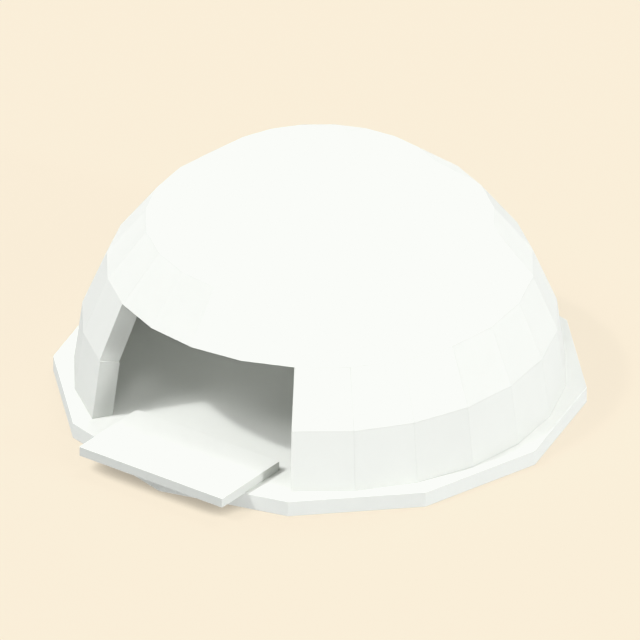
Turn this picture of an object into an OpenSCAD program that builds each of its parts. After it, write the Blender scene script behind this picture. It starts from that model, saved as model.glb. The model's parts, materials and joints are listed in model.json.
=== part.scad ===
// Snow-block igloo: a faceted dome of block courses on a twelve-sided slab,
// with one wide doorway and a flat door step.
// The origin is the centre of the slab's underside. The doorway faces -Y.

/* [Dome] */
// Radius of the dome, out to the corners of its blocks
dome_r = 2000; // [1400:10:2600]
// Thickness of the snow wall
wall_t = 180; // [100:5:260]
// Blocks side by side in each sixth of a course
blocks_per_sector = 4; // [2:1:6]
// Width of the hairline joint round each block
joint_w = 0.4; // [0.2:0.1:0.8]

/* [Base slab] */
// Thickness of the slab
base_t = 135; // [60:5:250]
// How far the slab's corners reach past the dome
base_ledge = 170; // [120:5:400]

/* [Door step] */
// Thickness of the step
step_t = 85; // [40:5:150]
// Depth of the step, from its front edge to its back edge
step_d = 775; // [400:5:1100]
// Gap between the step and the inner edge of each door jamb
step_side_gap = 190; // [50:5:400]
// How far the step reaches past the slab's front corner
step_overhang = 110; // [0:5:250]

/* [Hidden] */
base_sides = 12;
base_r = dome_r + base_ledge;
inner_r = dome_r - wall_t;

// The dome is six courses high, and each course is six sectors round
SECTORS = ["front", "front_right", "back_right", "back", "back_left", "front_left"];
course_count = 6;
door_courses = 2;
course_angle = 90 / course_count;
sector_angle = 360 / len(SECTORS);
front_azimuth = 270;

blocks_round = blocks_per_sector * len(SECTORS);
block_angle = 360 / blocks_round;
block_half = block_angle / 2;

// Half a joint, measured along a block's face and as an angle of height
joint_side = joint_w / 2 / cos(block_half);
joint_lat = asin(joint_w / 2 / dome_r);

// The clear width between the inner edges of the door jambs
door_clear_w = 2 * inner_r * sin(sector_angle / 2);
step_w = door_clear_w - 2 * step_side_gap;
step_front_y = -(base_r + step_overhang);

function lat_low(course) = course == 1 ? 0 : (course - 1) * course_angle + joint_lat;
function lat_high(course) = course * course_angle - joint_lat;
function sector_start(sector) = front_azimuth + (sector - 0.5) * sector_angle;
function block_azimuth(sector, i) = sector_start(sector) + (i + 0.5) * block_angle;
function segment_name(course, sector) = str("course_", course, "_", SECTORS[sector]);
function over_or_in_door(course, sector) = sector == 0 && course <= door_courses + 1;

// Every run of blocks as [course, sector], left out where the doorway and its lintel are
SEGMENTS = [
    for (course = [1 : course_count - 1], sector = [0 : len(SECTORS) - 1])
        if (!over_or_in_door(course, sector)) [course, sector]
];

// The upright outline of a block, as [distance out, height], cut on its middle line
function block_outline(course) =
    let (low = lat_low(course), high = lat_high(course), flat = cos(block_half))
    [
        [inner_r * cos(low) * flat, inner_r * sin(low)],
        [dome_r * cos(low) * flat, dome_r * sin(low)],
        [dome_r * cos(high) * flat, dome_r * sin(high)],
        [inner_r * cos(high) * flat, inner_r * sin(high)]
    ];

// A block's corner at radius r and height angle lat, on one side of its middle line
function block_corner(r, lat, azimuth, side, gap) =
    let (out = r * cos(lat) * cos(block_half))
    let (across = side * (r * cos(lat) * sin(block_half) - gap))
    [
        out * cos(azimuth) - across * sin(azimuth),
        out * sin(azimuth) + across * cos(azimuth),
        base_t + r * sin(lat)
    ];

// The four corners where one end of a block is cut
function end_corners(course, azimuth, side, gap) = [
    block_corner(inner_r, lat_low(course), azimuth, side, gap),
    block_corner(dome_r, lat_low(course), azimuth, side, gap),
    block_corner(dome_r, lat_high(course), azimuth, side, gap),
    block_corner(inner_r, lat_high(course), azimuth, side, gap)
];

// One block of a course, lying along +X: its outline cut to a wedge
module snow_block(course) {
    reach = 2 * dome_r;
    tip = joint_w / 2 / sin(block_half);
    intersection() {
        rotate([90, 0, 0])
            linear_extrude(height = reach, center = true)
                polygon(block_outline(course));
        linear_extrude(height = reach)
            polygon([
                [tip, 0],
                [tip + reach, -reach * tan(block_half)],
                [tip + reach, reach * tan(block_half)]
            ]);
    }
}

// The blocks of one course that fill one sector
module course_segment(course, sector) {
    color([0.955, 0.97, 0.95])
        for (i = [0 : blocks_per_sector - 1])
            translate([0, 0, base_t])
                rotate([0, 0, block_azimuth(sector, i)])
                    snow_block(course);
}

// One faceted piece that spans the doorway, in line with the third course
module door_lintel() {
    course = door_courses + 1;
    last = blocks_per_sector - 1;
    inner_ends = [
        for (i = [1 : 1 : last]) each end_corners(course, block_azimuth(0, i), -1, 0)
    ];
    points = concat(
        end_corners(course, block_azimuth(0, 0), -1, joint_side),
        inner_ends,
        end_corners(course, block_azimuth(0, last), 1, joint_side)
    );
    sides = [
        for (i = [0 : last], k = [0 : 3])
            [4 * i + k, 4 * i + 4 + k, 4 * i + 4 + (k + 1) % 4, 4 * i + (k + 1) % 4]
    ];
    far_end = [for (k = [3 : -1 : 0]) 4 * blocks_per_sector + k];
    color([0.955, 0.97, 0.95])
        polyhedron(points, concat([[0, 1, 2, 3]], sides, [far_end]));
}

// The closing block at the top of the dome: a shallow faceted cap
module crown() {
    low = lat_low(course_count);
    n = blocks_round;
    outer_ring = [for (i = [0 : n - 1]) block_corner(dome_r, low, block_azimuth(0, i), -1, 0)];
    inner_ring = [for (i = [0 : n - 1]) block_corner(inner_r, low, block_azimuth(0, i), -1, 0)];
    tips = [[0, 0, base_t + dome_r], [0, 0, base_t + inner_r]];
    outer_faces = [for (i = [0 : n - 1]) [i, 2 * n, (i + 1) % n]];
    inner_faces = [for (i = [0 : n - 1]) [n + (i + 1) % n, 2 * n + 1, n + i]];
    bed_faces = [for (i = [0 : n - 1]) [i, (i + 1) % n, n + (i + 1) % n, n + i]];
    color([0.965, 0.98, 0.96])
        polyhedron(
            concat(outer_ring, inner_ring, tips),
            concat(outer_faces, inner_faces, bed_faces)
        );
}

// The twelve-sided slab, with one corner straight ahead of the doorway
module base_slab() {
    color([0.93, 0.95, 0.925])
        cylinder(r = base_r, h = base_t, $fn = base_sides);
}

// The flat step that lies on the slab in the doorway
module door_step() {
    color([0.94, 0.96, 0.935])
        translate([-step_w / 2, step_front_y, base_t])
            cube([step_w, step_d, step_t]);
}

base_slab();
door_step();
door_lintel();
crown();
for (s = SEGMENTS)
    course_segment(s[0], s[1]);
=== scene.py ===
import json
import math

import bpy
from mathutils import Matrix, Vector

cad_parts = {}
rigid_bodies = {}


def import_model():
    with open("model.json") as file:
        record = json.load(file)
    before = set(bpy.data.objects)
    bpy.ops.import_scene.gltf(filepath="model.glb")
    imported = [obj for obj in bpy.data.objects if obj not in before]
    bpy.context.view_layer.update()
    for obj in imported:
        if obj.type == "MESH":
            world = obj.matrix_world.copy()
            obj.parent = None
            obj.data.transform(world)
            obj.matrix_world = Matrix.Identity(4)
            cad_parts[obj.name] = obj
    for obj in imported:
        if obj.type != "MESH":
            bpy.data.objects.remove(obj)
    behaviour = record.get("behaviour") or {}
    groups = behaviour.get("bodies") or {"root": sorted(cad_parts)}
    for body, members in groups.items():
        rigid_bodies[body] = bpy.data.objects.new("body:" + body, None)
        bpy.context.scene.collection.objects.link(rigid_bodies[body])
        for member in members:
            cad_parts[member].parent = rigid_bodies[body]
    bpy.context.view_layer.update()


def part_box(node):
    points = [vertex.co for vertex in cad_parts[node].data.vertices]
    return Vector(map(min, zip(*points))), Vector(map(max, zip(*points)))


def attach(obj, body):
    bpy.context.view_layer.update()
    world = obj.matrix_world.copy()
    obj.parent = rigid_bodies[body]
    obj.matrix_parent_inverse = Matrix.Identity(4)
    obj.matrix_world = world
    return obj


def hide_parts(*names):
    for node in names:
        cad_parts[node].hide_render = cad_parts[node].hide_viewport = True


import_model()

# Sizes of the igloo, in metres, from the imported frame
slab_low, slab_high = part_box("base_slab")
step_low, step_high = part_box("door_step")
crown_low, crown_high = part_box("crown")
SLAB_R = slab_high.x
SLAB_TOP = slab_high.z
SLAB_SIDES = 12
DOME_CENTRE = Vector((0, 0, SLAB_TOP))
DOME_R = crown_high.z - SLAB_TOP
COURSES = 6
COURSE_ANGLE = 90 / COURSES
CROWN_START = (COURSES - 1) * COURSE_ANGLE
WALL_INNER_R = (crown_low.z - SLAB_TOP) / math.sin(math.radians(CROWN_START))
BLOCKS_ROUND = 24
BLOCK_ANGLE = 360 / BLOCKS_ROUND
SECTOR_BLOCKS = 4
SECTOR_START = {
    "front": 240, "front_right": 300, "back_right": 0,
    "back": 60, "back_left": 120, "front_left": 180,
}
DOOR_COURSES = 2
LINTEL_COURSE = DOOR_COURSES + 1

# How the snow is worked
JOINT = 0.0004
BLOCK_ARRIS = 0.001
SLAB_ARRIS = 0.005
JAMB_SETBACK = 0.012
BLOCK_GRID_CUTS = 9
CROWN_GRID_CUTS = 5
SLAB_EDGE_CUTS = 15
SLAB_RINGS = 28
STEP_CELL = 0.045
RELIEF_DEPTH = 0.0014
RELIEF_SIZE = 0.22

# Tones of the snow. The blocks, and a little the slab, are set darker than the step as painted shade,
# in place of less light on them. The shade colour serves both the snow's soft clouds and the painted
# shade on upright faces.
BLOCK_WHITE = (0.798, 0.814, 0.781, 1)
SLAB_WHITE = (0.834, 0.850, 0.814, 1)
STEP_WHITE = (0.846, 0.862, 0.826, 1)
SNOW_CLOUD_AND_PAINTED_SHADE = (0.605, 0.623, 0.592, 1)

# The studio
WORLD_BANDS = ((-1, 1.05), (0, 0), (0.7, 0.51))
BACKDROP_CREAM = (0.955, 0.862, 0.682, 1)
FLOOR_CREAM = (0.10, 0.086, 0.07, 1)
FLOOR_GLOW = (1.02, 0.915, 0.735, 1)
OPEN_GLOW = 0.8
# Painted contact shadow on the floor: its glow falls to this level near the object, over this reach.
PAINTED_SHADOW_GLOW = 0.24
PAINTED_SHADOW_REACH = 0.3
PAINTED_SHADOW_OPENNESS = 0.5
ROOM_LAMP_WATTS = 5.3
ROOM_LAMP_RADIUS = 0.5
HIGHLIGHT_LEVELS = (0.956, 0.973, 0.938)

# The camera, with angles in degrees
VIEW_TURN = 36.85
VIEW_ELEVATION = 29.2
VIEW_WIDTH = 5.167
VIEW_AIM_HEIGHT = 0.477
VIEW_DISTANCE = 15


# Modelling helpers

def make_active(piece):
    """Leaves this piece as the only one selected."""
    bpy.ops.object.select_all(action="DESELECT")
    piece.select_set(True)
    bpy.context.view_layer.objects.active = piece


def new_piece(name):
    """Names the primitive that was just added and puts its place in its mesh."""
    piece = bpy.context.object
    piece.name = name
    piece.data.name = name
    bpy.ops.object.transform_apply(location=True, rotation=True, scale=True)
    return piece


def edit_faces(piece, test):
    """Opens a piece in edit mode with only the faces that pass the test selected."""
    make_active(piece)
    bpy.ops.object.mode_set(mode="EDIT")
    bpy.ops.mesh.select_mode(type="FACE")
    bpy.ops.mesh.select_all(action="DESELECT")
    bpy.ops.object.mode_set(mode="OBJECT")
    for face in piece.data.polygons:
        face.select = test(face)
    bpy.ops.object.mode_set(mode="EDIT")


def leave_edit():
    bpy.ops.object.mode_set(mode="OBJECT")


def height_angle(point):
    """Angle of a point above the slab, seen from the dome's centre, in degrees."""
    out = point - DOME_CENTRE
    return math.degrees(math.asin(out.z / out.length))


def azimuth(point):
    """Angle of a point round the dome, in degrees from +X."""
    return math.degrees(math.atan2(point.y, point.x)) % 360


def faces_dome(face):
    """True on the outer and inner face of the wall, and not on the cut sides of its blocks."""
    out = (face.center - DOME_CENTRE).normalized()
    return abs(face.normal.dot(out)) > 0.95


def round_arrises(width, sharpest, segments=3):
    """Rounds every edge of the open piece that is bent by more than an angle."""
    bpy.ops.mesh.select_mode(type="EDGE")
    bpy.ops.mesh.select_all(action="DESELECT")
    bpy.ops.mesh.edges_select_sharp(sharpness=math.radians(sharpest))
    bpy.ops.mesh.bevel(offset=width, segments=segments, profile=0.5, affect="EDGES")


def press_relief(piece, test):
    """Lets the snow's broad faces sink unevenly by a millimetre or so, and leaves the joints alone."""
    edit_faces(piece, test)
    bpy.ops.mesh.select_less()
    bpy.ops.object.vertex_group_assign_new()
    leave_edit()
    group = piece.vertex_groups[-1]
    group.name = "relief"
    sink = piece.modifiers.new("relief", "DISPLACE")
    sink.texture = snow_relief
    sink.texture_coords = "LOCAL"
    sink.direction = "NORMAL"
    sink.mid_level = 1.0
    sink.strength = RELIEF_DEPTH
    sink.vertex_group = group.name
    bpy.ops.object.modifier_apply(modifier=sink.name)
    piece.vertex_groups.clear()


def finish_piece(piece, material, slot, *nodes):
    """Smooths the arrises, keeps the broad faces flat, and hands the piece to the frame."""
    make_active(piece)
    bpy.ops.object.shade_smooth()
    even = piece.modifiers.new("flat faces", "WEIGHTED_NORMAL")
    even.mode = "FACE_AREA"
    even.weight = 50
    bpy.ops.object.modifier_apply(modifier=even.name)
    piece.data.materials.clear()
    piece.data.materials.append(material)
    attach(piece, "root")
    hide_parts(*nodes)
    return piece


snow_relief = bpy.data.textures.new("snow relief", type="CLOUDS")
snow_relief.noise_scale = RELIEF_SIZE
snow_relief.noise_depth = 2


# Materials

def add_node(tree, kind, **settings):
    node = tree.nodes.new(kind)
    for name, value in settings.items():
        setattr(node, name, value)
    return node


def group_socket(group, name, way, kind, default=None):
    socket = group.interface.new_socket(name=name, in_out=way, socket_type=kind)
    if default is not None:
        socket.default_value = default
    return socket


def make_snow_tone_and_painted_shade_group():
    """Snow with soft clouds of a darker tone, and painted shade that makes it greyer the more upright
    its faces stand.
    """
    group = bpy.data.node_groups.new("snow tone and painted shade", "ShaderNodeTree")
    group_socket(group, "Snow", "INPUT", "NodeSocketColor", (0.9, 0.9, 0.9, 1))
    group_socket(group, "Shade", "INPUT", "NodeSocketColor", (0.6, 0.6, 0.6, 1))
    group_socket(group, "Cloud amount", "INPUT", "NodeSocketFloat", 0.1)
    group_socket(group, "Clouds per metre", "INPUT", "NodeSocketFloat", 2.5)
    group_socket(group, "Upright amount", "INPUT", "NodeSocketFloat", 0.0)
    group_socket(group, "Colour", "OUTPUT", "NodeSocketColor")
    start = add_node(group, "NodeGroupInput")
    end = add_node(group, "NodeGroupOutput")
    link = group.links.new

    place = add_node(group, "ShaderNodeTexCoord")
    clouds = add_node(group, "ShaderNodeTexNoise")
    clouds.inputs["Detail"].default_value = 5
    clouds.inputs["Roughness"].default_value = 0.55
    spread = add_node(group, "ShaderNodeMapRange", interpolation_type="SMOOTHSTEP")
    spread.inputs["From Min"].default_value = 0.35
    spread.inputs["From Max"].default_value = 0.75
    cloudy = add_node(group, "ShaderNodeMath", operation="MULTIPLY")
    link(place.outputs["Object"], clouds.inputs["Vector"])
    link(start.outputs["Clouds per metre"], clouds.inputs["Scale"])
    link(clouds.outputs["Fac"], spread.inputs["Value"])
    link(spread.outputs["Result"], cloudy.inputs[0])
    link(start.outputs["Cloud amount"], cloudy.inputs[1])

    # Painted shade: the snow is mixed towards the shade colour the more upright a face stands, in
    # place of less light on steep faces.
    facing = add_node(group, "ShaderNodeNewGeometry")
    parts = add_node(group, "ShaderNodeSeparateXYZ")
    level = add_node(group, "ShaderNodeMath", operation="ABSOLUTE")
    steep = add_node(group, "ShaderNodeMapRange")
    steep.inputs["From Min"].default_value = 1.0
    steep.inputs["From Max"].default_value = 0.0
    upright = add_node(group, "ShaderNodeMath", operation="MULTIPLY")
    link(facing.outputs["Normal"], parts.inputs["Vector"])
    link(parts.outputs["Z"], level.inputs[0])
    link(level.outputs["Value"], steep.inputs["Value"])
    link(steep.outputs["Result"], upright.inputs[0])
    link(start.outputs["Upright amount"], upright.inputs[1])

    total = add_node(group, "ShaderNodeMath", operation="ADD", use_clamp=True)
    blend = add_node(group, "ShaderNodeMix", data_type="RGBA")
    link(cloudy.outputs["Value"], total.inputs[0])
    link(upright.outputs["Value"], total.inputs[1])
    link(total.outputs["Value"], blend.inputs["Factor"])
    link(start.outputs["Snow"], blend.inputs[6])
    link(start.outputs["Shade"], blend.inputs[7])
    link(blend.outputs[2], end.inputs["Colour"])
    return group


def make_snow_grain_group():
    """Height of the snow's surface: fine grains over a softly uneven crust."""
    group = bpy.data.node_groups.new("snow grain", "ShaderNodeTree")
    group_socket(group, "Grains per metre", "INPUT", "NodeSocketFloat", 400.0)
    group_socket(group, "Grain height", "INPUT", "NodeSocketFloat", 0.3)
    group_socket(group, "Crust per metre", "INPUT", "NodeSocketFloat", 20.0)
    group_socket(group, "Crust height", "INPUT", "NodeSocketFloat", 1.0)
    group_socket(group, "Height", "OUTPUT", "NodeSocketFloat")
    start = add_node(group, "NodeGroupInput")
    end = add_node(group, "NodeGroupOutput")
    place = add_node(group, "ShaderNodeTexCoord")
    grains = add_node(group, "ShaderNodeTexNoise")
    grains.inputs["Detail"].default_value = 2
    crust = add_node(group, "ShaderNodeTexNoise")
    crust.inputs["Detail"].default_value = 4
    fine = add_node(group, "ShaderNodeMath", operation="MULTIPLY")
    broad = add_node(group, "ShaderNodeMath", operation="MULTIPLY")
    total = add_node(group, "ShaderNodeMath", operation="ADD")
    link = group.links.new
    link(place.outputs["Object"], grains.inputs["Vector"])
    link(place.outputs["Object"], crust.inputs["Vector"])
    link(start.outputs["Grains per metre"], grains.inputs["Scale"])
    link(start.outputs["Crust per metre"], crust.inputs["Scale"])
    link(grains.outputs["Fac"], fine.inputs[0])
    link(start.outputs["Grain height"], fine.inputs[1])
    link(crust.outputs["Fac"], broad.inputs[0])
    link(start.outputs["Crust height"], broad.inputs[1])
    link(fine.outputs["Value"], total.inputs[0])
    link(broad.outputs["Value"], total.inputs[1])
    link(total.outputs["Value"], end.inputs["Height"])
    return group


def place_group(material, group, **values):
    node = material.node_tree.nodes.new("ShaderNodeGroup")
    node.node_tree = group
    for name, value in values.items():
        node.inputs[name.replace("_", " ")].default_value = value
    return node


def make_snow(name, snow, roughness, crust_height, **tones_and_painted_shade):
    """A packed-snow material with its own colours, painted shade on its upright faces, unevenness and
    roughness.
    """
    material = bpy.data.materials.new(name)
    material.use_nodes = True
    tree = material.node_tree
    surface = tree.nodes["Principled BSDF"]
    surface.inputs["Roughness"].default_value = roughness
    surface.inputs["Specular IOR Level"].default_value = 0.15
    tone = place_group(material, snow_tone_and_painted_shade, Snow=snow, Shade=SNOW_CLOUD_AND_PAINTED_SHADE, **tones_and_painted_shade)
    grain = place_group(material, snow_grain, Crust_height=crust_height)
    bump = add_node(tree, "ShaderNodeBump")
    bump.inputs["Strength"].default_value = 0.5
    bump.inputs["Distance"].default_value = 0.001
    tree.links.new(tone.outputs["Colour"], surface.inputs["Base Color"])
    tree.links.new(grain.outputs["Height"], bump.inputs["Height"])
    tree.links.new(bump.outputs["Normal"], surface.inputs["Normal"])
    return material


snow_tone_and_painted_shade = make_snow_tone_and_painted_shade_group()
snow_grain = make_snow_grain_group()
# Each upright amount paints shade on the steeper faces: the wall's lower courses and the sides of the
# slab and the step.
block_snow = make_snow(
    "block snow", BLOCK_WHITE, 0.85, 1.0, Cloud_amount=0.05, Upright_amount=0.56)
slab_snow = make_snow(
    "trodden slab snow", SLAB_WHITE, 0.8, 1.5,
    Cloud_amount=0.06, Clouds_per_metre=3.5, Upright_amount=0.62)
step_snow = make_snow(
    "smoothed step snow", STEP_WHITE, 0.75, 0.8,
    Cloud_amount=0.05, Clouds_per_metre=3.0, Upright_amount=1.0)


# The dome: facets of one sphere, each given the wall's thickness towards its centre

def dome_facets(name, low, high, start, end):
    """The sphere's facets between two height angles and two azimuths, cut free of the rest."""
    bpy.ops.object.select_all(action="DESELECT")
    bpy.ops.mesh.primitive_uv_sphere_add(
        segments=BLOCKS_ROUND, ring_count=2 * COURSES, radius=DOME_R, location=DOME_CENTRE)
    piece = new_piece(name)
    edit_faces(piece, lambda face: not (
        low < height_angle(face.center) < high and start < azimuth(face.center) < end))
    bpy.ops.mesh.delete(type="FACE")
    leave_edit()
    return piece


def build_wall_piece(piece, cuts):
    """Trims facets by half a joint all round, grids them and pulls out the wall behind them."""
    edit_faces(piece, lambda face: True)
    bpy.ops.mesh.inset(thickness=JOINT / 2, use_boundary=True, use_even_offset=True)
    bpy.ops.mesh.select_all(action="INVERT")
    bpy.ops.mesh.delete(type="FACE")
    bpy.ops.mesh.select_all(action="SELECT")
    bpy.ops.mesh.subdivide(number_cuts=cuts)
    bpy.ops.mesh.select_all(action="SELECT")
    bpy.ops.mesh.extrude_region_move(TRANSFORM_OT_translate={"value": (0, 0, 0)})
    inwards = WALL_INNER_R / DOME_R
    bpy.ops.transform.resize(value=(inwards, inwards, inwards), center_override=DOME_CENTRE)
    bpy.ops.mesh.select_all(action="SELECT")
    bpy.ops.mesh.normals_make_consistent(inside=False)
    round_arrises(BLOCK_ARRIS, 8)
    leave_edit()
    return piece


def make_block(course):
    """The first block of a course, which the rest of its course is copied from."""
    low = (course - 1) * COURSE_ANGLE
    block = dome_facets(f"block_{course}", low, low + COURSE_ANGLE, 0, BLOCK_ANGLE)
    return build_wall_piece(block, BLOCK_GRID_CUTS)


def turned_copy(piece, angle):
    """A copy with its own mesh, turned about the dome's upright axis."""
    make_active(piece)
    bpy.ops.object.duplicate(linked=False)
    copy = bpy.context.object
    copy.rotation_euler.z = math.radians(angle)
    bpy.ops.object.transform_apply(rotation=True)
    return copy


def set_back_left_jamb(segment):
    """Draws the end at the doorway's left back a little, which leaves a ledge on the course below."""
    a = math.radians(SECTOR_START["front"])
    across = Vector((-math.sin(a), math.cos(a), 0))
    edit_faces(segment, lambda face: abs(face.center.dot(across)) < 2 * BLOCK_ARRIS)
    bpy.ops.transform.translate(value=across * -JAMB_SETBACK)
    leave_edit()


def build_segment(block, course, sector):
    """Four blocks side by side that fill one sector of a course."""
    start = SECTOR_START[sector]
    copies = [turned_copy(block, start + i * BLOCK_ANGLE) for i in range(SECTOR_BLOCKS)]
    make_active(copies[0])
    for copy in copies:
        copy.select_set(True)
    bpy.ops.object.join()
    segment = bpy.context.object
    node = f"course_{course}_{sector}"
    segment.name = f"{node}_snow"
    segment.data.name = segment.name
    if course == DOOR_COURSES and sector == "front_left":
        set_back_left_jamb(segment)
    press_relief(segment, faces_dome)
    return finish_piece(segment, block_snow, "snow_blocks", node)


def build_course(course):
    block = make_block(course)
    for sector in SECTOR_START:
        if sector == "front" and course <= LINTEL_COURSE:
            continue
        build_segment(block, course, sector)
    bpy.data.objects.remove(block)


def build_lintel():
    """The faceted piece that spans the doorway in line with the third course."""
    low = (LINTEL_COURSE - 1) * COURSE_ANGLE
    start = SECTOR_START["front"]
    end = start + SECTOR_BLOCKS * BLOCK_ANGLE
    lintel = dome_facets("door_lintel_snow", low, low + COURSE_ANGLE, start, end)
    build_wall_piece(lintel, BLOCK_GRID_CUTS)
    press_relief(lintel, faces_dome)
    return finish_piece(lintel, block_snow, "snow_blocks", "door_lintel")


def build_crown():
    """The shallow cap that closes the dome."""
    crown = dome_facets("crown_snow", CROWN_START, 91, -1, 361)
    build_wall_piece(crown, CROWN_GRID_CUTS)
    press_relief(crown, faces_dome)
    return finish_piece(crown, block_snow, "snow_blocks", "crown")


# The slab and the step

def build_slab():
    """The twelve-sided slab: rings of faces drawn in from its rim, then pulled down to the ground."""
    bpy.ops.object.select_all(action="DESELECT")
    bpy.ops.mesh.primitive_circle_add(
        vertices=SLAB_SIDES, radius=SLAB_R, fill_type="NOTHING", location=(0, 0, SLAB_TOP))
    slab = new_piece("base_slab_snow")
    bpy.ops.object.mode_set(mode="EDIT")
    bpy.ops.mesh.select_mode(type="EDGE")
    bpy.ops.mesh.select_all(action="SELECT")
    bpy.ops.mesh.subdivide(number_cuts=SLAB_EDGE_CUTS)
    for ring in range(SLAB_RINGS, 1, -1):
        closer = (ring - 1) / ring
        bpy.ops.mesh.extrude_edges_move(TRANSFORM_OT_translate={"value": (0, 0, 0)})
        bpy.ops.transform.resize(value=(closer, closer, 1), center_override=DOME_CENTRE)
    bpy.ops.mesh.edge_face_add()
    bpy.ops.mesh.poke()
    bpy.ops.mesh.select_all(action="SELECT")
    bpy.ops.mesh.extrude_region_move(
        TRANSFORM_OT_translate={"value": (0, 0, slab_low.z - SLAB_TOP)})
    bpy.ops.mesh.select_all(action="SELECT")
    bpy.ops.mesh.normals_make_consistent(inside=False)
    round_arrises(SLAB_ARRIS, 20)
    leave_edit()
    press_relief(slab, lambda face: face.normal.z > -0.5)
    return finish_piece(slab, slab_snow, "base_slab", "base_slab")


def build_step():
    """The flat step in the doorway: a gridded sheet pulled down to the slab."""
    size = step_high - step_low
    middle = (step_low + step_high) / 2
    bpy.ops.object.select_all(action="DESELECT")
    bpy.ops.mesh.primitive_grid_add(
        x_subdivisions=round(size.x / STEP_CELL), y_subdivisions=round(size.y / STEP_CELL),
        size=1, location=(middle.x, middle.y, step_high.z))
    bpy.context.object.scale = (size.x, size.y, 1)
    step = new_piece("door_step_snow")
    edit_faces(step, lambda face: True)
    bpy.ops.mesh.extrude_region_move(TRANSFORM_OT_translate={"value": (0, 0, -size.z)})
    bpy.ops.mesh.select_all(action="SELECT")
    bpy.ops.mesh.normals_make_consistent(inside=False)
    round_arrises(SLAB_ARRIS, 20)
    leave_edit()
    press_relief(step, lambda face: face.normal.z > -0.5)
    return finish_piece(step, step_snow, "door_step", "door_step")


build_slab()
build_step()
for course in range(1, COURSES):
    build_course(course)
build_lintel()
build_crown()


# Floor, lights and camera

def build_floor():
    """A wide cream sheet lit mostly by its own glow, which dims close to the object as a painted
    contact shadow.
    """
    bpy.ops.object.select_all(action="DESELECT")
    bpy.ops.mesh.primitive_plane_add(size=60, location=(0, 0, 0))
    floor = bpy.context.object
    floor.name = "studio_floor"
    cream = bpy.data.materials.new("floor cream")
    cream.use_nodes = True
    tree = cream.node_tree
    surface = tree.nodes["Principled BSDF"]
    surface.inputs["Base Color"].default_value = FLOOR_CREAM
    surface.inputs["Roughness"].default_value = 1.0
    surface.inputs["Specular IOR Level"].default_value = 0.0
    surface.inputs["Emission Color"].default_value = FLOOR_GLOW
    # Painted contact shadow: the glow is dimmed where the object closes in around the floor.
    openness_for_painted_shadow = add_node(tree, "ShaderNodeAmbientOcclusion", samples=16)
    openness_for_painted_shadow.inputs["Distance"].default_value = PAINTED_SHADOW_REACH
    glow = add_node(tree, "ShaderNodeMapRange")
    glow.inputs["From Max"].default_value = PAINTED_SHADOW_OPENNESS
    glow.inputs["To Min"].default_value = PAINTED_SHADOW_GLOW
    glow.inputs["To Max"].default_value = OPEN_GLOW
    tree.links.new(openness_for_painted_shadow.outputs["AO"], glow.inputs["Value"])
    tree.links.new(glow.outputs["Result"], surface.inputs["Emission Strength"])
    floor.data.materials.append(cream)
    floor.visible_diffuse = False
    floor.visible_glossy = False


def add_sun(name, towards_azimuth, elevation, strength, softness):
    """A soft sun whose light comes from an azimuth, in degrees from +X, and an elevation."""
    a = math.radians(towards_azimuth)
    e = math.radians(elevation)
    towards = Vector((math.cos(a) * math.cos(e), math.sin(a) * math.cos(e), math.sin(e)))
    data = bpy.data.lights.new(name, "SUN")
    data.energy = strength
    data.angle = math.radians(softness)
    sun = bpy.data.objects.new(name, data)
    sun.rotation_euler = (-towards).to_track_quat("-Z", "Y").to_euler()
    bpy.context.scene.collection.objects.link(sun)


def add_room_light():
    """A faint, wide lamp under the dome, which lifts the room where few light bounces reach."""
    data = bpy.data.lights.new("room", "POINT")
    data.energy = ROOM_LAMP_WATTS
    data.shadow_soft_size = ROOM_LAMP_RADIUS
    lamp = bpy.data.objects.new("room", data)
    lamp.location = (-0.2 * DOME_R, -0.25 * DOME_R, SLAB_TOP + 0.56 * DOME_R)
    bpy.context.scene.collection.objects.link(lamp)


def add_camera():
    """A long view from the front right, a little above, with no perspective."""
    turn = math.radians(VIEW_TURN)
    elevation = math.radians(VIEW_ELEVATION)
    across = math.cos(elevation)
    back = Vector((math.sin(turn) * across, -math.cos(turn) * across, math.sin(elevation)))
    aim = Vector((0, 0, SLAB_TOP + VIEW_AIM_HEIGHT))
    data = bpy.data.cameras.new("view")
    data.type = "ORTHO"
    data.ortho_scale = VIEW_WIDTH
    data.clip_end = 100
    camera = bpy.data.objects.new("view", data)
    camera.location = aim + back * VIEW_DISTANCE
    camera.rotation_euler = (-back).to_track_quat("-Z", "Y").to_euler()
    bpy.context.scene.collection.objects.link(camera)
    bpy.context.scene.camera = camera


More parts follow.
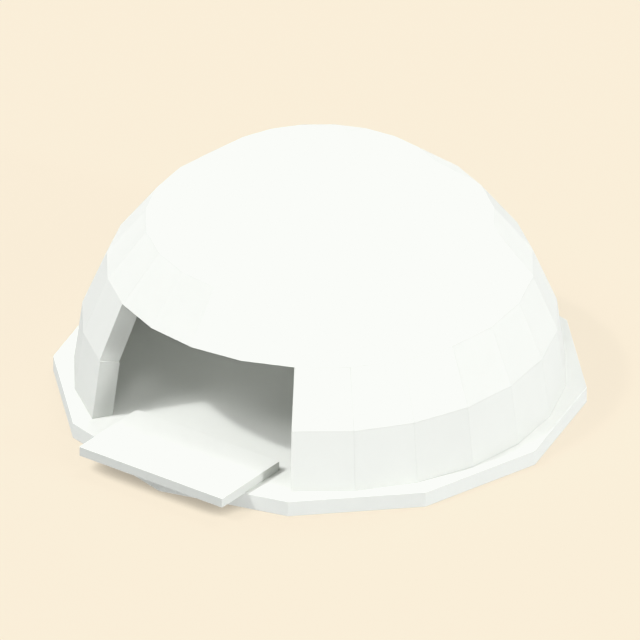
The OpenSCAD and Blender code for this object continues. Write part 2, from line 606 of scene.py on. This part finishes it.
def make_world():
    """Even light from below the horizon and from a band of sky; the camera itself sees plain cream."""
    world = bpy.data.worlds.new("studio")
    world.use_nodes = True
    tree = world.node_tree
    light = tree.nodes["Background"]
    place = add_node(tree, "ShaderNodeTexCoord")
    parts = add_node(tree, "ShaderNodeSeparateXYZ")
    height = add_node(tree, "ShaderNodeMapRange")
    height.inputs["From Min"].default_value = -1.0
    bands = add_node(tree, "ShaderNodeValToRGB")
    bands.color_ramp.interpolation = "CONSTANT"
    for number, (lowest, level) in enumerate(WORLD_BANDS):
        if number < 2:
            band = bands.color_ramp.elements[number]
            band.position = (lowest + 1) / 2
        else:
            band = bands.color_ramp.elements.new((lowest + 1) / 2)
        band.color = (level, level, level, 1)
    backdrop = add_node(tree, "ShaderNodeBackground")
    backdrop.inputs["Color"].default_value = BACKDROP_CREAM
    path = add_node(tree, "ShaderNodeLightPath")
    either = add_node(tree, "ShaderNodeMixShader")
    link = tree.links.new
    link(place.outputs["Generated"], parts.inputs["Vector"])
    link(parts.outputs["Z"], height.inputs["Value"])
    link(height.outputs["Result"], bands.inputs["Fac"])
    link(bands.outputs["Color"], light.inputs["Color"])
    link(path.outputs["Is Camera Ray"], either.inputs["Fac"])
    link(light.outputs["Background"], either.inputs[1])
    link(backdrop.outputs["Background"], either.inputs[2])
    link(either.outputs["Shader"], tree.nodes["World Output"].inputs["Surface"])
    bpy.context.scene.world = world


def hold_highlights():
    """Keeps the brightest snow just under pure white, each colour at its own level."""
    view = bpy.context.scene.view_settings
    view.view_transform = "Standard"
    view.use_curve_mapping = True
    mapping = view.curve_mapping
    mapping.extend = "HORIZONTAL"
    for curve, level in zip(mapping.curves, HIGHLIGHT_LEVELS):
        curve.points[-1].location = (level, level)
        for point in curve.points:
            point.handle_type = "VECTOR"
    mapping.update()


def light_scene():
    make_world()
    hold_highlights()
    add_sun("front left", -128, 55, 1.25, 3.5)
    add_sun("front left, wide", -120, 50, 1.17, 25)
    add_sun("right", 1, 14, 0.8, 4)
    add_sun("right, low", 5, 8, 1.0, 5)
    add_sun("right, high", -12, 35, 0.40, 18)
    add_sun("front", -60, 50, 0.36, 12)
    add_sun("back, wide", 95, 58, 1.2, 25)
    add_room_light()


build_floor()
light_scene()
add_camera()
